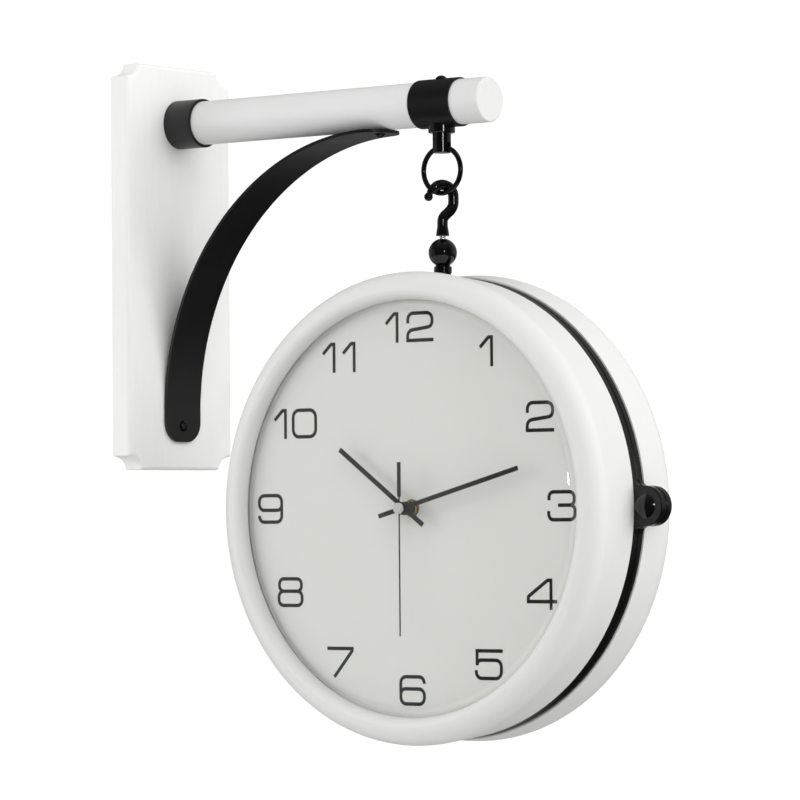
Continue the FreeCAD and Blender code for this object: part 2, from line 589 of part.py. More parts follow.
wi = WALL
ri = RIM_R - wi
tx2, ty2 = tangent_point(SEAM_R - wi, 0.0, RIM_RHO, RIM_D, ri)
a1 = math.degrees(math.atan2(ty2 - RIM_D, tx2 - RIM_RHO))
RIB_OUT = POCKET_R + 2.0
shell_pts = [
    (SEAM_R, 0.0), (tx, ty),
    ("arc", on_arc(RIM_RHO, RIM_D, RIM_R, (a0 + 90) / 2), crest),
    ("arc", lip(25), lip(50)), ("arc", lip(70), lip(90)),
    (OPEN_R, SHOULDER_D), (POCKET_R, SHOULDER_D), (POCKET_R, DIAL_D - DIAL_T), (RIB_OUT, DIAL_D - DIAL_T),
    (RIB_OUT, RIM_D + ri * math.sin(math.acos(max(-1, (RIB_OUT - RIM_RHO) / ri)))),
]
q = shell_pts[-1]
aq = math.degrees(math.atan2(q[1] - RIM_D, q[0] - RIM_RHO))
shell_pts += [
    ("arc", on_arc(RIM_RHO, RIM_D, ri, (aq + a1) / 2), (tx2, ty2)),
    (SEAM_R - wi, 0.0),
]
shell = turned(shell_pts)
tx3, ty3 = tangent_point(SEAM_R - wi / 2, 0.0, RIM_RHO, RIM_D, RIM_R - wi / 2)
to_wall = turned([(0, 0), (SEAM_R - wi / 2, 0), (tx3, ty3), (0, ty3)])
for a in (45, 135, 225, 315):            # bosses for the hoop screws
    boss = Part.makeCylinder(3.8, 23.5, V(142.6, 0, 7.0))
    web = Part.makeBox(12.0, 4.0, 23.5, V(142.6, -2.0, 7.0))
    boss = boss.fuse(web).common(to_wall).removeSplitter()
    boss = boss.cut(Part.makeCylinder(1.5, 22.5, V(142.6, 0, 6.0)))
    boss.rotate(V(0, 0, 0), V(0, 0, 1), a)
    shell = shell.fuse(boss)
CLIP_RHO = 146.4
CLIP_ANGLES = (15, 105, 195, 285)
core = turned([
    (RIM_RHO, DIAL_D - DIAL_T), (RIM_RHO, crest[1] - wi / 2),
    ("arc", on_arc(RIM_RHO, RIM_D, RIM_R - wi / 2, 45), (RIM_RHO + RIM_R - wi / 2, RIM_D)),
    (RIM_RHO + RIM_R - wi / 2, DIAL_D - DIAL_T),
])
for a in CLIP_ANGLES:                    # bosses for the dial clips
    boss = Part.makeCylinder(3.4, 14.0, V(CLIP_RHO, 0, DIAL_D - DIAL_T)).common(core)
    boss.rotate(V(0, 0, 0), V(0, 0, 1), a)
    shell = shell.fuse(boss)
shell = shell.removeSplitter()
for a in CLIP_ANGLES:
    hole = Part.makeCylinder(1.2, 8.0, V(CLIP_RHO, 0, DIAL_D - DIAL_T - 1))
    hole.rotate(V(0, 0, 0), V(0, 0, 1), a)
    shell = shell.cut(hole)
front_shell = dial_frame(shell)
rear_full = rear(front_shell)
slab = box(HANG_X - 200, SEAM_Y - 10, CLOCK_Z - 200, HANG_X + 200, SEAM_Y + BAND_W, CLOCK_Z + 200)
rear_shell = rear_full.cut(slab)
# the rear shell's wall is thinned inside where the hoop's spigot enters it
sp = dial_frame(turned([(130.0, -BAND_W + 1), (SEAM_R - WALL, -BAND_W + 1), (SEAM_R - WALL, -BAND_W - 7.0), (130.0, -BAND_W - 7.0)]))
rear_shell = rear_shell.cut(sp)
save("front_shell", front_shell)
save("rear_shell", rear_shell)

# ====================================================================== STEM
zb = BALL_Z - BALL_R + 1.0
stem = turned([
    (0, SHOULDER_Z - 3.4), (BALL_BORE_R, SHOULDER_Z - 3.4), (BALL_BORE_R, zb),
    (5.1, zb), ("arc", (4.75, zb - 0.35), (5.1, zb - 0.7)), (5.9, zb - 1.1), (5.9, zb - 4.9),
    (5.3, zb - 5.5), (5.3, seat - 1.5), (0, seat - 1.5),
])
stem.translate(V(HANG_X, 0, 0))
case_cyl = cyl(SEAM_R, 60, V(HANG_X, -30, CLOCK_Z), V(0, 1, 0))
stem = stem.cut(case_cyl).cut(front_shell)
stem = stem.fuse(cyl(2.0, 16.0, V(HANG_X, 0, seat - 15.0), V(0, 0, 1)))
save("hanger_stem", stem)

# screws from the hoops into the shells
hs = []
for a in (45, 135, 225, 315):
    s = screw(2.9, 1.9, 1.5, 11.0)
    s.rotate(V(0, 0, 0), V(1, 0, 0), 180)            # head towards the seam
    s.translate(V(142.6, 0, 5.0))
    s.rotate(V(0, 0, 0), V(0, 0, 1), a)
    hs.append(dial_frame(s))
    t = screw(2.9, 1.9, 1.5, 11.0)
    t.translate(V(142.6, 0, -BAND_W - 5.0))
    t.rotate(V(0, 0, 0), V(0, 0, 1), a)
    hs.append(dial_frame(t))
save("band_screws", Part.makeCompound(hs))

# ================================================= LENS, GASKET, DIAL, CLIPS
def skin(off):
    """Half section of one face of the lens, off inside its outer face: the flat
    dome, then a rounded shoulder that turns down to the flange."""
    big = LENS_DOME_R - off
    cz = LENS_APEX - LENS_DOME_R
    small = 9.0 - off
    edge = 135.6 - off
    cr = edge - small
    h = cz + math.sqrt((big - small) ** 2 - cr ** 2)
    k = big / (big - small)
    touch = (cr * k, cz + (h - cz) * k)
    a_t = math.atan2(touch[1] - h, touch[0] - cr)
    mid = (cr + small * math.cos(a_t / 2), h + small * math.sin(a_t / 2))
    a_m = math.asin(touch[0] / big) / 2
    return (0, LENS_APEX - off), (big * math.sin(a_m), cz + big * math.cos(a_m)), touch, mid, (edge, h)


base_d = SHOULDER_D - LENS_T
o0, o1, o2, o3, o4 = skin(0.0)
i0, i1, i2, i3, i4 = skin(LENS_WALL)
lens = turned([
    o0, ("arc", o1, o2), ("arc", o3, o4), (o4[0], SHOULDER_D), (POCKET_R - 0.1, SHOULDER_D), (POCKET_R - 0.1, base_d),
    (i4[0], base_d), i4, ("arc", i3, i2), ("arc", i1, i0),
])
gasket = turned([(136.6, DIAL_D), (POCKET_R - 0.1, DIAL_D), (POCKET_R - 0.1, base_d), (136.6, base_d)])
dial = Part.makeCylinder(DIAL_R, DIAL_T, V(0, 0, DIAL_D - DIAL_T)).cut(Part.makeCylinder(4.0, 10, V(0, 0, 28)))
clips, clip_screws = [], []
cd = DIAL_D - DIAL_T
for a in CLIP_ANGLES:
    c = Part.makeBox(16.0, 9.0, 1.4, V(CLIP_RHO - 12.5, -4.5, cd - 1.4))
    c = c.cut(Part.makeCylinder(1.3, 5, V(CLIP_RHO, 0, cd - 3)))
    c.rotate(V(0, 0, 0), V(0, 0, 1), a)
    clips.append(c)
    s = screw(2.4, 1.6, 1.2, 7.6)
    s.rotate(V(0, 0, 0), V(1, 0, 0), 180)
    s.translate(V(CLIP_RHO, 0, cd - 1.4))
    s.rotate(V(0, 0, 0), V(0, 0, 1), a)
    clip_screws.append(s)

# ================================================================== MOVEMENT
MW = 56.0
m_top = cd                     # against the back of the dial
m_bot = cd - 16.4
BAT_R = 7.1
BAT_Y = -17.5
KNOB = (13.0, 13.0)
case = Part.makeBox(MW, MW, m_top - m_bot - 1.6, V(-MW / 2, -MW / 2, m_bot + 1.6))
vert = [e for e in case.Edges if e.BoundBox.ZLength > 10]
case = case.makeFillet(3.0, vert)
cav = Part.makeBox(MW - 3.2, MW - 3.2, m_top - m_bot - 3.2, V(-MW / 2 + 1.6, -MW / 2 + 1.6, m_bot + 1.6))
case = case.cut(cav)
case = case.fuse(Part.makeCylinder(4.0, 6.0 + 3.2, V(0, 0, m_top - 1.6)))
case = case.cut(Part.makeCylinder(2.65, 20, V(0, 0, m_top - 5)))
# wall of the battery bay
bay = Part.makeBox(MW - 3.2, 1.4, m_top - m_bot - 3.2, V(-MW / 2 + 1.6, BAT_Y + BAT_R + 0.4, m_bot + 1.6))
case = case.fuse(bay).removeSplitter()
cover = Part.makeBox(MW, MW, 1.6, V(-MW / 2, -MW / 2, m_bot))
cover = cover.makeFillet(3.0, [e for e in cover.Edges if e.BoundBox.ZLength > 1.0])
cover = cover.cut(Part.makeBox(51.6, 2 * BAT_R + 0.6, 5, V(-25.8, BAT_Y - BAT_R - 0.3, m_bot - 1)))
cover = cover.cut(Part.makeCylinder(1.56, 5, V(KNOB[0], KNOB[1], m_bot - 1)))
bz = m_top - 1.7 - BAT_R
battery = Part.makeCylinder(BAT_R, 48.6, V(-24.9, BAT_Y, bz), V(1, 0, 0))
battery = battery.fuse(Part.makeCylinder(2.7, 1.4, V(23.7, BAT_Y, bz), V(1, 0, 0)))
knob = turned([(0, m_bot - 3.6), (5.4, m_bot - 3.6), (6.0, m_bot - 3.0), (6.0, m_bot - 0.9), (5.4, m_bot - 0.3), (1.5, m_bot - 0.3),
               (1.5, m_bot + 3.0), (4.0, m_bot + 3.0), (4.0, m_bot + 4.6), (0, m_bot + 4.6)])
knob = knob.cut(Part.makeBox(7.0, 1.4, 1.2, V(-3.5, -0.7, m_bot - 3.6)))
knob.translate(V(KNOB[0], KNOB[1], 0))
nut_pts = [(4.0, DIAL_D), (5.9, DIAL_D), (5.9, DIAL_D + 0.6), (5.2, DIAL_D + 0.8), (5.2, DIAL_D + 2.6), (4.8, DIAL_D + 3.0), (4.0, DIAL_D + 3.0)]
shaft_nut = turned(nut_pts)
for i in range(6):
    c = Part.makeBox(4.0, 12.0, 4.0, V(4.75, -6.0, DIAL_D + 0.8))
    c.rotate(V(0, 0, 0), V(0, 0, 1), 60 * i)
    shaft_nut = shaft_nut.cut(c)

# ===================================================================== HANDS
def tube(ro_, ri_, lo, hi, wheel_r, wheel_lo, wheel_hi):
    t = Part.makeCylinder(ro_, hi - lo, V(0, 0, lo)).fuse(Part.makeCylinder(wheel_r, wheel_hi - wheel_lo, V(0, 0, wheel_lo)))
    if ri_:
        t = t.cut(Part.makeCylinder(ri_, 80, V(0, 0, 0)))
    return t.removeSplitter()


hour_tube = tube(2.57, 1.77, 27.2, HOUR_D + 0.9, 8.0, 28.6, 29.8)
minute_tube = tube(1.69, 0.79, 24.4, MINUTE_D + 0.9, 7.6, 25.8, 27.0)
second_arbor = tube(0.71, 0, 21.6, SECOND_D + 0.4, 7.2, 23.2, 24.2)


def bar_hand(tip, tail, w, d, boss_r, boss_lo, boss_hi, bore):
    h = Part.makeBox(w, tip + tail, HAND_T, V(-w / 2, -tail, d))
    h = h.fuse(Part.makeCylinder(boss_r, boss_hi - boss_lo, V(0, 0, boss_lo)))
    return h.cut(Part.makeCylinder(bore, 40, V(0, 0, 30))).removeSplitter()


hour_hand = bar_hand(66.0, 18.5, 3.2, HOUR_D, 4.4, HOUR_D - 0.9, HOUR_D + 0.9, 2.57)
minute_hand = bar_hand(96.5, 19.7, 3.0, MINUTE_D, 4.1, MINUTE_D - 0.8, MINUTE_D + 0.9, 1.69)
sec = Part.makeBox(0.9, 83.0, 0.4, V(-0.45, 0, SECOND_D))
sec = sec.fuse(Part.makeBox(0.9, 8.2, 0.4, V(-0.45, -8.0, SECOND_D)))
sec = sec.fuse(Part.makeBox(2.8, 22.5, 0.4, V(-1.4, -30.0, SECOND_D)))
sec = sec.fuse(Part.makeCylinder(3.2, 1.2, V(0, 0, SECOND_D - 0.8)))
second_hand = sec.cut(Part.makeCylinder(0.71, 40, V(0, 0, 30))).removeSplitter()
cap = turned([(0, SECOND_D + 0.4), (3.6, SECOND_D + 0.4), (3.6, CAP_D - 0.8), ("arc", (3.37, CAP_D - 0.23), (2.8, CAP_D)), (0, CAP_D)])

bat_front = dial_frame(battery)
pieces = [
    ("lens", lens, 0), ("gasket", gasket, 0), ("dial", dial, 0),
    ("dial_clips", Part.makeCompound(clips), 0), ("clip_screws", Part.makeCompound(clip_screws), 0),
    ("movement_case", case, 0), ("movement_cover", cover, 0), ("battery", battery, 0),
    ("setting_knob", knob, 0), ("shaft_nut", shaft_nut, 0),
    ("hour_tube", hour_tube, 0), ("hour_hand", hour_hand, HOUR_ANGLE),
    ("minute_tube", minute_tube, 0), ("minute_hand", minute_hand, MINUTE_ANGLE),
    ("second_arbor", second_arbor, 0), ("second_hand", second_hand, SECOND_ANGLE),
    ("hub_cap", cap, 0),
]
for name, shape, ang in pieces:
    f = dial_frame(shape, ang)
    save("front_" + name, f)
    save("rear_" + name, rear(f))
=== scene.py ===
import bpy
import math
from mathutils import Matrix, Vector
from mathutils.geometry import delaunay_2d_cdt


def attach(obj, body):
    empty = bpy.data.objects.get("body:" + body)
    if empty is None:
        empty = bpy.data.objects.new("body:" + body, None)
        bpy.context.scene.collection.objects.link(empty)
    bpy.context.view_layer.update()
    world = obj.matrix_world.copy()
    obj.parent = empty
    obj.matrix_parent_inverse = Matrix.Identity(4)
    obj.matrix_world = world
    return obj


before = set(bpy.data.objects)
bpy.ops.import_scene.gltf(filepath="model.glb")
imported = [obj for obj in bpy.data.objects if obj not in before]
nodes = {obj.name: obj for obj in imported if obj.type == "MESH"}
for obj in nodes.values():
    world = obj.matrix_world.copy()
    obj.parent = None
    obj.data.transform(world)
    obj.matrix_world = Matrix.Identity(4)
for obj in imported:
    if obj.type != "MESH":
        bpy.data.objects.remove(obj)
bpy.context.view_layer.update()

MM = 0.001
HANG_X = 242.5
SEAM_Y = -2.3
CLOCK_Z = -267.4
DIAL_D = 33.6

scene = bpy.context.scene
scene.view_settings.view_transform = "Standard"
scene.view_settings.look = "None"
scene.view_settings.exposure = 0.0
scene.view_settings.gamma = 1.0


# ---------------------------------------------------------------- materials
class Mat:
    """A small builder for one node material."""

    def __init__(self, name):
        self.m = bpy.data.materials.new(name)
        self.m.use_nodes = True
        self.nt = self.m.node_tree
        self.nt.nodes.clear()
        self.out = self.nt.nodes.new("ShaderNodeOutputMaterial")
        self.coord = self.nt.nodes.new("ShaderNodeTexCoord")

    def node(self, kind, **values):
        n = self.nt.nodes.new(kind)
        for k, v in values.items():
            setattr(n, k, v)
        return n

    def link(self, a, b):
        self.nt.links.new(a, b)

    def shader(self, **sockets):
        self.p = self.node("ShaderNodeBsdfPrincipled")
        for k, v in sockets.items():
            self.p.inputs[k.replace("_", " ")].default_value = v
        self.link(self.p.outputs[0], self.out.inputs["Surface"])
        return self.p

    def mapped(self, scale=(1, 1, 1), turn=(0, 0, 0)):
        mp = self.node("ShaderNodeMapping")
        mp.inputs["Scale"].default_value = scale
        mp.inputs["Rotation"].default_value = turn
        self.link(self.coord.outputs["Object"], mp.inputs["Vector"])
        return mp.outputs["Vector"]

    def noise(self, scale, detail=3.0, rough=0.5, vector=None, distortion=0.0):
        n = self.node("ShaderNodeTexNoise")
        n.inputs["Scale"].default_value = scale
        n.inputs["Detail"].default_value = detail
        n.inputs["Roughness"].default_value = rough
        n.inputs["Distortion"].default_value = distortion
        self.link(vector or self.coord.outputs["Object"], n.inputs["Vector"])
        return n.outputs["Fac"]

    def voronoi(self, scale, vector=None, feature="F1"):
        n = self.node("ShaderNodeTexVoronoi", feature=feature)
        n.inputs["Scale"].default_value = scale
        self.link(vector or self.coord.outputs["Object"], n.inputs["Vector"])
        return n.outputs["Distance"]

    def ramp(self, fac, stops):
        r = self.node("ShaderNodeValToRGB")
        e = r.color_ramp.elements
        while len(e) < len(stops):
            e.new(0.5)
        for i, (pos, col) in enumerate(stops):
            e[i].position = pos
            e[i].color = (*col, 1.0)
        self.link(fac, r.inputs["Fac"])
        return r.outputs["Color"]

    def span(self, fac, lo, hi, a=0.25, b=0.75):
        r = self.node("ShaderNodeMapRange")
        r.inputs["From Min"].default_value = a
        r.inputs["From Max"].default_value = b
        r.inputs["To Min"].default_value = lo
        r.inputs["To Max"].default_value = hi
        self.link(fac, r.inputs["Value"])
        return r.outputs["Result"]

    def math(self, op, a, b):
        n = self.node("ShaderNodeMath", operation=op)
        for i, v in enumerate((a, b)):
            if isinstance(v, (int, float)):
                n.inputs[i].default_value = v
            else:
                self.link(v, n.inputs[i])
        return n.outputs[0]

    def bump(self, height, distance, strength=1.0, under=None):
        b = self.node("ShaderNodeBump")
        b.inputs["Strength"].default_value = strength
        b.inputs["Distance"].default_value = distance
        self.link(height, b.inputs["Height"])
        if under is not None:
            self.link(under, b.inputs["Normal"])
        return b.outputs["Normal"]

    def colour(self, c):
        self.link(c, self.p.inputs["Base Color"])

    def rough(self, r):
        self.link(r, self.p.inputs["Roughness"])

    def normal(self, n):
        self.link(n, self.p.inputs["Normal"])


def tint(c, f):
    return tuple(min(1.0, x * f) for x in c)


def white_wood(name, grain_axis):
    """White satin paint over fine close-grained wood; the arm's copy has a darker base than the plate's, as painted
    shade.
    """
    w = Mat(name)
    w.shader(IOR=1.5, Specular_IOR_Level=0.35)
    # one paint on both parts: the arm's lower base (0.665 against 0.775) is painted shade that darkens the arm against
    # the plate
    base = (0.775, 0.775, 0.767) if grain_axis == "z" else (0.665, 0.67, 0.662)
    along = (0.16, 1.0, 1.0) if grain_axis == "x" else (1.0, 1.0, 0.10)
    vec = w.mapped(along)
    grain = w.noise(260.0, 5.0, 0.6, vec)
    broad = w.noise(9.0, 2.0, 0.5)
    mix = w.math("ADD", w.math("MULTIPLY", grain, 0.45), w.math("MULTIPLY", broad, 0.55))
    w.colour(w.ramp(mix, [(0.30, tint(base, 0.965)), (0.52, base), (0.72, tint(base, 1.02))]))
    w.rough(w.span(w.noise(55.0, 3.0, 0.55, vec), 0.36, 0.50))
    fine = w.bump(grain, 0.00006, 0.55)
    roller = w.noise(900.0, 2.0, 0.5)
    w.normal(w.bump(roller, 0.00002, 0.5, fine))
    return w.m


def white_case(name):
    """Sprayed white lacquer with a faint orange peel."""
    w = Mat(name)
    w.shader(IOR=1.5, Coat_Weight=0.12, Coat_Roughness=0.28)
    base = (0.685, 0.688, 0.672)
    broad = w.noise(6.0, 2.0, 0.5)
    speck = w.noise(420.0, 2.0, 0.5)
    mix = w.math("ADD", w.math("MULTIPLY", broad, 0.8), w.math("MULTIPLY", speck, 0.2))
    w.colour(w.ramp(mix, [(0.32, tint(base, 0.975)), (0.52, base), (0.70, tint(base, 1.015))]))
    w.rough(w.span(w.noise(38.0, 3.0, 0.5), 0.40, 0.52))
    peel = w.noise(240.0, 1.5, 0.4)
    w.normal(w.bump(peel, 0.00005, 0.22))
    return w.m


def black_satin(name):
    """Fine black powder coat."""
    w = Mat(name)
    w.shader(IOR=1.5, Specular_IOR_Level=0.5)
    base = (0.0055, 0.0055, 0.0058)
    grit = w.noise(1500.0, 2.0, 0.5)
    broad = w.noise(26.0, 3.0, 0.55)
    mix = w.math("ADD", w.math("MULTIPLY", grit, 0.5), w.math("MULTIPLY", broad, 0.5))
    w.colour(w.ramp(mix, [(0.34, tint(base, 0.75)), (0.52, base), (0.68, tint(base, 1.45))]))
    w.rough(w.span(broad, 0.33, 0.46))
    w.normal(w.bump(grit, 0.00003, 0.35))
    return w.m


def black_gloss(name):
    """Polished black enamel on metal."""
    w = Mat(name)
    w.shader(IOR=1.5, Specular_IOR_Level=0.4, Coat_Weight=0.3, Coat_Roughness=0.04)
    base = (0.0030, 0.0030, 0.0032)
    broad = w.noise(90.0, 3.0, 0.5)
    w.colour(w.ramp(broad, [(0.34, tint(base, 0.7)), (0.52, base), (0.70, tint(base, 1.5))]))
    w.rough(w.span(w.noise(160.0, 3.0, 0.55), 0.10, 0.19))
    w.normal(w.bump(w.noise(500.0, 2.0, 0.5), 0.00003, 0.12))
    return w.m


def black_hoop(name):
    """Black lacquered hoop with a slight random variation in tone."""
    w = Mat(name)
    w.shader(IOR=1.45, Specular_IOR_Level=0.35, Coat_Weight=0.15, Coat_Roughness=0.12)
    base = (0.0040, 0.0040, 0.0042)
    broad = w.noise(34.0, 3.0, 0.55)
    w.colour(w.ramp(broad, [(0.34, tint(base, 0.75)), (0.52, base), (0.70, tint(base, 1.5))]))
    w.rough(w.span(w.noise(120.0, 3.0, 0.5), 0.20, 0.32))
    w.normal(w.bump(w.noise(900.0, 2.0, 0.5), 0.00002, 0.25))
    return w.m


def dial_face(name):
    """Matt printed card, slightly warm, with a fibre so fine that it only breaks up the tone."""
    w = Mat(name)
    w.shader(IOR=1.45, Specular_IOR_Level=0.25)
    base = (0.712, 0.714, 0.680)
    fibre = w.noise(1400.0, 4.0, 0.6, w.mapped((1.0, 1.0, 0.45)))
    broad = w.noise(11.0, 2.0, 0.5)
    mix = w.math("ADD", w.math("MULTIPLY", fibre, 0.35), w.math("MULTIPLY", broad, 0.65))
    w.colour(w.ramp(mix, [(0.34, tint(base, 0.985)), (0.52, base), (0.68, tint(base, 1.01))]))
    w.rough(w.span(fibre, 0.62, 0.78))
    w.normal(w.bump(fibre, 0.00002, 0.3))
    return w.m


def printed_ink(name):
    """Dark grey printing ink."""
    w = Mat(name)
    w.shader(IOR=1.45, Specular_IOR_Level=0.3)
    base = (0.017, 0.0175, 0.0165)
    grit = w.noise(1800.0, 2.0, 0.5)
    w.colour(w.ramp(grit, [(0.34, tint(base, 0.8)), (0.52, base), (0.70, tint(base, 1.35))]))
    w.rough(w.span(grit, 0.50, 0.66))
    return w.m


def hand_paint(name):
    """Thin dark paint over a stamped metal hand."""
    w = Mat(name)
    w.shader(IOR=1.48, Specular_IOR_Level=0.4)
    base = (0.024, 0.0245, 0.022)
    grit = w.noise(1300.0, 2.0, 0.5)
    w.colour(w.ramp(grit, [(0.34, tint(base, 0.8)), (0.52, base), (0.70, tint(base, 1.3))]))
    w.rough(w.span(w.noise(300.0, 2.0, 0.5), 0.42, 0.58))
    w.normal(w.bump(grit, 0.00001, 0.2))
    return w.m


def lens(name):
    """Clear pane: mostly see-through, with the surface's own mirror share."""
    w = Mat(name)
    clear = w.node("ShaderNodeBsdfTransparent")
    clear.inputs["Color"].default_value = (0.996, 0.997, 0.995, 1.0)
    shine = w.node("ShaderNodeBsdfGlossy")
    shine.inputs["Color"].default_value = (1.0, 1.0, 1.0, 1.0)
    w.link(w.span(w.noise(30.0, 2.0, 0.5), 0.02, 0.04), shine.inputs["Roughness"])
    facing = w.node("ShaderNodeLayerWeight")
    facing.inputs["Blend"].default_value = 0.5
    rise = w.math("MULTIPLY", w.math("POWER", facing.outputs["Facing"], 5.0), 0.14)
    mix = w.node("ShaderNodeMixShader")
    w.link(w.math("ADD", rise, 0.055), mix.inputs["Fac"])
    w.link(clear.outputs[0], mix.inputs[1])
    w.link(shine.outputs[0], mix.inputs[2])
    w.link(mix.outputs[0], w.out.inputs["Surface"])
    return w.m


def metal(name, base, lo, hi, scale=(1, 1, 1), grain=700.0, depth=0.00002, aniso=0.0, metallic=1.0):
    """Bare metal with fine working marks."""
    w = Mat(name)
    w.shader(Metallic=metallic, Anisotropic=aniso)
    vec = w.mapped(scale)
    marks = w.noise(grain, 4.0, 0.6, vec)
    broad = w.noise(60.0, 3.0, 0.5)
    mix = w.math("ADD", w.math("MULTIPLY", marks, 0.5), w.math("MULTIPLY", broad, 0.5))
    w.colour(w.ramp(mix, [(0.32, tint(base, 0.85)), (0.52, base), (0.70, tint(base, 1.08))]))
    w.rough(w.span(marks, lo, hi))
    w.normal(w.bump(marks, depth, 0.4))
    return w.m


def plastic(name, base, lo, hi, grain=900.0, coat=0.0, ior=1.47):
    """Moulded plastic or rubber with a fine tool texture."""
    w = Mat(name)
    w.shader(IOR=ior, Coat_Weight=coat, Coat_Roughness=0.2)
    grit = w.noise(grain, 3.0, 0.55)
    broad = w.noise(45.0, 2.0, 0.5)
    mix = w.math("ADD", w.math("MULTIPLY", grit, 0.4), w.math("MULTIPLY", broad, 0.6))
    w.colour(w.ramp(mix, [(0.34, tint(base, 0.82)), (0.52, base), (0.70, tint(base, 1.15))]))
    w.rough(w.span(grit, lo, hi))
    w.normal(w.bump(grit, 0.00003, 0.3))
    return w.m


def banded(name, low, high, split, metal_tip):
    """A cell's printed sleeve: two plain bands along its length."""
    w = Mat(name)
    w.shader(IOR=1.5, Coat_Weight=0.4, Coat_Roughness=0.1)
    sep = w.node("ShaderNodeSeparateXYZ")
    w.link(w.coord.outputs["Object"], sep.inputs[0])
    wob = w.math("ADD", sep.outputs["X"], w.math("MULTIPLY", w.noise(200.0), 0.0002))
    t = w.span(wob, 0.0, 1.0, split[0], split[1])
    w.colour(w.ramp(t, [(0.0, low), (0.48, tint(low, 1.1)), (0.52, high), (1.0, tint(high, 0.95))]))
    w.rough(w.span(w.noise(300.0), 0.22, 0.34))
    w.normal(w.bump(w.noise(700.0), 0.00002, 0.2))
    return w.m


M = {
    "plate": white_wood("white_wood_plate", "z"),
    "arm": white_wood("white_wood_arm_shaded_copy", "x"),
    "case": white_case("white_case_paint"),
    "satin": black_satin("black_powder_coat"),
    "gloss": black_gloss("black_enamel"),
    "hoop": black_hoop("black_hoop_lacquer"),
    "dial": dial_face("dial_card"),
    "ink": printed_ink("dial_ink"),
    "hand": hand_paint("hand_paint"),
    "lens": lens("clear_pane"),
    "zinc": metal("zinc_plate", (0.60, 0.60, 0.61), 0.24, 0.40),
    "bright": metal("bright_steel", (0.74, 0.74, 0.75), 0.16, 0.26, grain=900.0, metallic=0.6),
    "clip": metal("clip_steel", (0.66, 0.66, 0.67), 0.24, 0.36, scale=(1.0, 1.0, 0.2)),
    "brass": metal("turned_brass", (0.72, 0.50, 0.20), 0.20, 0.32, scale=(1.0, 8.0, 1.0)),
    "silver": metal("satin_silver", (0.80, 0.80, 0.79), 0.30, 0.42, scale=(1.0, 1.0, 1.0), grain=1200.0, metallic=0.45),
    "movement": plastic("movement_plastic", (0.022, 0.022, 0.023), 0.42, 0.58),
    "cover": plastic("movement_cover_plastic", (0.030, 0.030, 0.031), 0.40, 0.55),
    "seal": plastic("seal_rubber", (0.62, 0.62, 0.60), 0.55, 0.70, grain=600.0),
    "knob": plastic("knob_plastic", (0.46, 0.030, 0.026), 0.30, 0.42, coat=0.2),
    "cell": banded("cell_sleeve", (0.030, 0.034, 0.040), (0.42, 0.28, 0.12), (0.225, 0.260), None),
}


def finish_of(n):
    if n == "wall_plate":
        return "plate"
    if n == "arm":
        return "arm"
    if n in ("keyhole_plates", "keyhole_screws", "arm_screw", "stem_nut", "band_screws"):
        return "zinc"
    if n == "swivel_pin":
        return "bright"
    if n in ("arm_collar", "brace_strap", "arm_sleeve"):
        return "satin"
    if n in ("front_band", "rear_band"):
        return "hoop"
    for end, key in (("_shell", "case"), ("_lens", "lens"), ("_gasket", "seal"), ("_dial", "dial"),
                     ("_dial_clips", "clip"), ("_clip_screws", "zinc"), ("movement_case", "movement"),
                     ("movement_cover", "cover"), ("_battery", "cell"), ("_setting_knob", "knob"),
                     ("shaft_nut", "brass"), ("_tube", "brass"), ("second_arbor", "clip"),
                     ("hub_cap", "silver"), ("_hand", "hand")):
        if n.endswith(end):
            return key
    return "gloss"


for name, obj in nodes.items():
    obj.data.materials.clear()
    obj.data.materials.append(M[finish_of(name)])


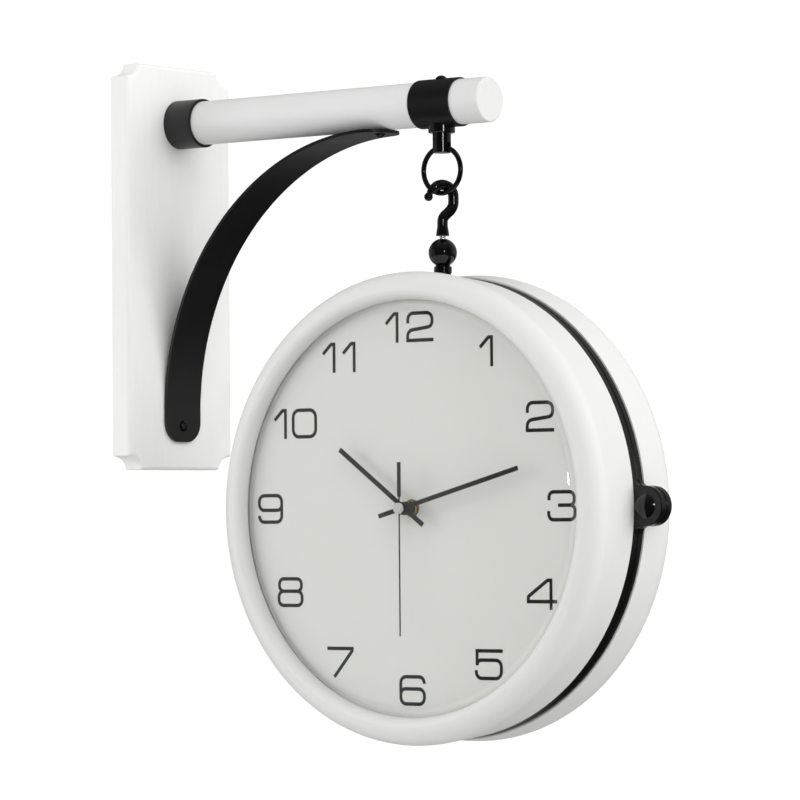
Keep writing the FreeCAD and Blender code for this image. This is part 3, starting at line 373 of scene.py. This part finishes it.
# ----------------------------------------------------------------- numerals
# Centre lines of the figures, in millimetres about each figure's middle: (x, y, corner radius).
STROKE = 2.35
FIGURES = {
    "0": [([(0.0, 8.85, 0), (9.6, 8.85, 5.0), (9.6, -8.85, 5.0), (-9.6, -8.85, 5.0), (-9.6, 8.85, 5.0)], True)],
    "1": [([(-9.3, 2.5, 0), (-2.5, 8.85, 0.8), (0.0, 8.85, 0), (0.0, -10.0, 0)], False)],
    "2": [([(-9.8, 2.3, 0), (-9.8, 8.85, 4.2), (10.0, 8.85, 4.4), (10.0, -0.1, 3.7), (-10.0, -2.5, 4.2),
            (-10.0, -8.85, 0), (11.1, -8.85, 0)], False)],
    "3": [([(-9.9, 3.5, 0), (-9.9, 8.85, 3.5), (9.7, 8.85, 3.6), (9.7, 0.35, 3.4), (-2.9, 0.35, 0)], False),
          ([(2.0, 0.35, 0), (10.2, 0.35, 3.4), (10.2, -8.85, 3.7), (-10.2, -8.85, 3.7), (-10.2, -3.3, 0)], False)],
    "4": [([(11.8, -4.7, 0), (-10.8, -4.7, 0), (-10.8, -1.5, 0.8), (4.3, 8.85, 0.8), (7.0, 8.85, 0),
            (7.0, -10.0, 0)], False)],
    "5": [([(11.2, 8.85, 0), (-9.3, 8.85, 0), (-9.3, -0.2, 0)], False),
          ([(-9.2, -0.6, 0), (-9.2, 2.9, 3.2), (10.0, 2.9, 4.3), (10.0, -8.85, 4.4), (-10.0, -8.85, 4.2),
            (-10.0, -3.6, 0)], False)],
    "6": [([(9.6, 4.5, 0), (9.6, 8.85, 4.0), (-9.6, 8.85, 4.3), (-9.6, -8.85, 4.3), (9.7, -8.85, 4.3),
            (9.7, 0.95, 4.3), (-9.6, 0.95, 3.7), (-9.6, -2.8, 0)], False)],
    "7": [([(-11.0, 8.85, 0), (9.9, 8.85, 0), (9.9, 7.4, 0.6), (-5.2, -10.0, 0)], False)],
    "8": [([(0.0, 8.85, 0), (9.4, 8.85, 3.7), (9.4, 0.6, 3.7), (-9.4, 0.6, 3.7), (-9.4, 8.85, 3.7)], True),
          ([(0.0, 0.6, 0), (9.9, 0.6, 3.9), (9.9, -8.85, 3.9), (-9.9, -8.85, 3.9), (-9.9, 0.6, 3.9)], True)],
    "9": [([(-9.6, -4.5, 0), (-9.6, -8.85, 4.0), (9.6, -8.85, 4.3), (9.6, 8.85, 4.3), (-9.7, 8.85, 4.3),
            (-9.7, -0.95, 4.3), (9.6, -0.95, 3.7), (9.6, 2.8, 0)], False)],
}
# Each hour: its figures with their x offsets, and where the middle of the number stands on the dial.
HOURS = [
    ([("1", -10.4), ("2", 8.3)], (-0.6, 118.4)),
    ([("1", 4.3)], (61.2, 100.8)),
    ([("2", 0.0)], (103.2, 57.8)),
    ([("3", 0.0)], (119.6, 0.6)),
    ([("4", 0.0)], (103.6, -55.6)),
    ([("5", 0.0)], (61.0, -101.0)),
    ([("6", 0.0)], (-0.8, -118.6)),
    ([("7", 0.0)], (-60.4, -100.8)),
    ([("8", 0.0)], (-102.4, -55.0)),
    ([("9", 0.0)], (-119.0, 0.6)),
    ([("1", -8.2), ("0", 8.0)], (-97.4, 57.2)),
    ([("1", -4.2), ("1", 12.7)], (-59.6, 100.2)),
]


def rounded(points, closed):
    """Walks the centre line with its corners rounded, as points a fraction of a millimetre apart on the bends."""
    out = []
    n = len(points)
    for i, (x, y, r) in enumerate(points):
        if r <= 0 or (not closed and i in (0, n - 1)):
            out.append((x, y, True))
            continue
        p = Vector((x, y))
        a = (Vector(points[i - 1][:2]) - p).normalized()
        b = (Vector(points[(i + 1) % n][:2]) - p).normalized()
        half = math.acos(max(-1.0, min(1.0, a.dot(b)))) / 2
        t = r / math.tan(half)
        c = p + (a + b).normalized() * (r / math.sin(half))
        s = p + a * t - c
        e = p + b * t - c
        sweep = math.atan2(s.x * e.y - s.y * e.x, s.dot(e))
        steps = max(3, int(abs(math.degrees(sweep)) / 6))
        a0 = math.atan2(s.y, s.x)
        for k in range(steps + 1):
            th = a0 + sweep * k / steps
            out.append((c.x + r * math.cos(th), c.y + r * math.sin(th), False))
    return out


def strip(points, closed):
    """Quads that cover one stroke of constant width, mitred where the line has a corner."""
    line = [Vector(p[:2]) for p in rounded(points, closed)]
    n = len(line)
    sides = []
    for i, p in enumerate(line):
        before = line[i - 1] if (i > 0 or closed) else None
        after = line[(i + 1) % n] if (i < n - 1 or closed) else None
        d0 = (p - before).normalized() if before is not None else None
        d1 = (after - p).normalized() if after is not None else None
        d0 = d0 or d1
        d1 = d1 or d0
        n0, n1 = Vector((-d0.y, d0.x)), Vector((-d1.y, d1.x))
        m = (n0 + n1).normalized()
        w = STROKE / 2 / max(0.35, m.dot(n0))
        sides.append((p + m * w, p - m * w))
    quads = []
    for i in range(n if closed else n - 1):
        j = (i + 1) % n
        quads.append((sides[i][0], sides[i][1], sides[j][1], sides[j][0]))
    return quads


def flat_mesh(quads):
    """One clean flat mesh that covers all the quads once."""
    co, faces = [], []
    for q in quads:
        area = sum(q[k].x * q[(k + 1) % 4].y - q[(k + 1) % 4].x * q[k].y for k in range(4))
        q = q if area > 0 else tuple(reversed(q))
        faces.append(list(range(len(co), len(co) + 4)))
        co += [v.copy() for v in q]
    verts, _, tris, _, _, origin = delaunay_2d_cdt(co, [], faces, 1, 1e-5)
    kept = [t for t, o in zip(tris, origin) if o]
    return [Vector(v) for v in verts], kept


def print_numbers(side):
    quads = []
    for figures, (cx, cy) in HOURS:
        for fig, dx in figures:
            for points, closed in FIGURES[fig]:
                moved = [(x + dx + cx, y + cy, r) for x, y, r in points]
                quads += strip(moved, closed)
    verts, tris = flat_mesh(quads)
    edges = {}
    for t in tris:
        for k in range(3):
            e = (t[k], t[(k + 1) % 3])
            if (e[1], e[0]) in edges:
                edges.pop((e[1], e[0]))
            else:
                edges[e] = True
    low, high = -0.03, 0.07
    n = len(verts)
    pts = [(v.x, v.y, high) for v in verts] + [(v.x, v.y, low) for v in verts]
    faces = [tuple(t) for t in tris] + [tuple(x + n for x in reversed(t)) for t in tris]
    faces += [(b, a, a + n, b + n) for a, b in edges]
    # local x to the viewer's right, local y up, local z out of the dial
    turn = Matrix(((1, 0, 0), (0, 0, -1), (0, 1, 0)))
    world = []
    for p in pts:
        q = turn @ Vector((p[0], p[1], p[2] + DIAL_D))
        if side == "rear":
            q = Vector((-q.x, -q.y, q.z))
        world.append((q + Vector((HANG_X, SEAM_Y, CLOCK_Z))) * MM)
    me = bpy.data.meshes.new(side + "_numbers")
    me.from_pydata(world, [], faces)
    me.validate()
    me.update()
    ob = bpy.data.objects.new(side + "_numbers", me)
    scene.collection.objects.link(ob)
    me.materials.append(M["ink"])
    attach(ob, "clock")
    return ob


for side in ("front", "rear"):
    print_numbers(side)


# ------------------------------------------------------------ floor and light
def plane(name, size, at, material):
    me = bpy.data.meshes.new(name)
    s = size / 2
    me.from_pydata([(-s, -s, 0), (s, -s, 0), (s, s, 0), (-s, s, 0)], [], [(0, 1, 2, 3)])
    ob = bpy.data.objects.new(name, me)
    ob.location = at
    scene.collection.objects.link(ob)
    me.materials.append(material)
    return ob


fl = Mat("floor_paint")
fl.shader(IOR=1.4, Specular_IOR_Level=0.15)
fl.colour(fl.ramp(fl.noise(3.0, 3.0), [(0.3, (0.80, 0.80, 0.80)), (0.7, (0.84, 0.84, 0.84))]))
fl.rough(fl.span(fl.noise(8.0), 0.75, 0.9))
floor = plane("floor", 9.0, (0.2, 0.0, -1.75), fl.m)
floor.visible_glossy = False


def area(name, at, target, size, power, colour=(1, 1, 1), mirrored=False):
    d = bpy.data.lights.new(name, "AREA")
    d.shape = "RECTANGLE"
    d.size, d.size_y = size
    d.energy = power
    d.color = colour
    o = bpy.data.objects.new(name, d)
    o.location = at
    o.rotation_euler = (Vector(target) - Vector(at)).to_track_quat("-Z", "Y").to_euler()
    o.visible_glossy = mirrored
    scene.collection.objects.link(o)
    return o


MID = (0.24, 0.0, -0.2)
area("key_right", (2.8, 0.9, 1.05), MID, (3.0, 3.0), 66.0, (1.0, 0.997, 0.99))
area("top_soft", (1.7, -1.2, 1.9), MID, (2.4, 2.4), 26.0)
area("fill_left", (-2.1, -2.3, 0.10), MID, (2.4, 2.4), 50.0, (0.99, 0.995, 1.0))
area("fill_front", (0.9, -3.1, 0.0), MID, (2.4, 2.4), 5.0)
area("spark", (2.26, -1.61, 0.22), (0.2425, 0.0, -0.1), (0.22, 0.22), 5.0, mirrored=True)

world = bpy.data.worlds.new("studio")
world.use_nodes = True
scene.world = world
wt = world.node_tree
wt.nodes.clear()
w_out = wt.nodes.new("ShaderNodeOutputWorld")
w_coord = wt.nodes.new("ShaderNodeTexCoord")
w_sep = wt.nodes.new("ShaderNodeSeparateXYZ")
w_ramp = wt.nodes.new("ShaderNodeValToRGB")
w_map = wt.nodes.new("ShaderNodeMapRange")
w_map.inputs["From Min"].default_value = -1.0
w_map.inputs["From Max"].default_value = 1.0
w_light = wt.nodes.new("ShaderNodeBackground")
w_seen = wt.nodes.new("ShaderNodeBackground")
w_path = wt.nodes.new("ShaderNodeLightPath")
w_mix = wt.nodes.new("ShaderNodeMixShader")
wt.links.new(w_coord.outputs["Generated"], w_sep.inputs[0])
wt.links.new(w_sep.outputs["Z"], w_map.inputs["Value"])
wt.links.new(w_map.outputs["Result"], w_ramp.inputs["Fac"])
wt.links.new(w_ramp.outputs["Color"], w_light.inputs["Color"])
e = w_ramp.color_ramp.elements
e[0].position, e[0].color = 0.0, (0.55, 0.55, 0.55, 1)
e[1].position, e[1].color = 1.0, (1.0, 1.0, 1.0, 1)
w_light.inputs["Strength"].default_value = 0.64
w_seen.inputs["Color"].default_value = (1.0, 1.0, 1.0, 1.0)
w_seen.inputs["Strength"].default_value = 1.05


def w_dot(direction, lo, hi, top):
    """Rises from 0 to top as the direction turns towards the given one."""
    d = wt.nodes.new("ShaderNodeVectorMath")
    d.operation = "DOT_PRODUCT"
    wt.links.new(w_coord.outputs["Generated"], d.inputs[0])
    d.inputs[1].default_value = Vector(direction).normalized()
    r = wt.nodes.new("ShaderNodeMapRange")
    r.interpolation_type = "SMOOTHSTEP"
    for k, v in (("From Min", lo), ("From Max", hi), ("To Min", 0.0), ("To Max", top)):
        r.inputs[k].default_value = v
    wt.links.new(d.outputs["Value"], r.inputs["Value"])
    return r.outputs["Result"]


def w_math(op, a, b):
    n = wt.nodes.new("ShaderNodeMath")
    n.operation = op
    for i, v in enumerate((a, b)):
        if isinstance(v, (int, float)):
            n.inputs[i].default_value = v
        else:
            wt.links.new(v, n.inputs[i])
    return n.outputs[0]


# what the shiny surfaces mirror: a dim room, a soft panel to the left, a pale wall behind
panel = w_dot((-0.78, -0.62, 0.02), 0.905, 0.955, 0.30)
behind = w_math("MULTIPLY", w_dot((0.25, 1.0, 0.0), 0.35, 0.85, 0.40), w_dot((0.0, 0.0, 1.0), -0.30, 0.0, 1.0))
low_left = w_dot((-0.55, 0.80, -0.25), 0.90, 0.98, 0.33)
above = w_dot((0.0, 0.0, 1.0), 0.35, 0.95, 0.16)
w_dim = wt.nodes.new("ShaderNodeBackground")
wt.links.new(w_math("ADD", w_math("MAXIMUM", panel, w_math("MAXIMUM", behind, low_left)), w_math("ADD", above, 0.03)), w_dim.inputs["Strength"])
w_gloss = wt.nodes.new("ShaderNodeMixShader")
wt.links.new(w_path.outputs["Is Glossy Ray"], w_gloss.inputs["Fac"])
wt.links.new(w_light.outputs[0], w_gloss.inputs[1])
wt.links.new(w_dim.outputs[0], w_gloss.inputs[2])
wt.links.new(w_path.outputs["Is Camera Ray"], w_mix.inputs["Fac"])
wt.links.new(w_gloss.outputs[0], w_mix.inputs[1])
wt.links.new(w_seen.outputs[0], w_mix.inputs[2])
wt.links.new(w_mix.outputs[0], w_out.inputs["Surface"])

# -------------------------------------------------------------------- camera
cam_az, cam_pitch, cam_roll = math.radians(37.491), math.radians(1.645), math.radians(-0.485)
focal = 4217.618
look = Vector((-math.sin(cam_az) * math.cos(cam_pitch), math.cos(cam_az) * math.cos(cam_pitch), math.sin(cam_pitch)))
right = Vector((math.cos(cam_az), math.sin(cam_az), 0.0))
up = right.cross(look)
right2 = right * math.cos(cam_roll) + up * math.sin(cam_roll)
up2 = up * math.cos(cam_roll) - right * math.sin(cam_roll)
cam = bpy.data.cameras.new("camera")
cam.sensor_fit = "HORIZONTAL"
cam.sensor_width = 36.0
cam.lens = focal / 800.0 * 36.0
cam.clip_start, cam.clip_end = 0.05, 60.0
cam_ob = bpy.data.objects.new("camera", cam)
scene.collection.objects.link(cam_ob)
m = Matrix((
    (right2.x, up2.x, -look.x, 1.911139),
    (right2.y, up2.y, -look.y, -2.223076),
    (right2.z, up2.z, -look.z, -0.275697),
    (0, 0, 0, 1),
))
cam_ob.matrix_world = m
scene.camera = cam_ob
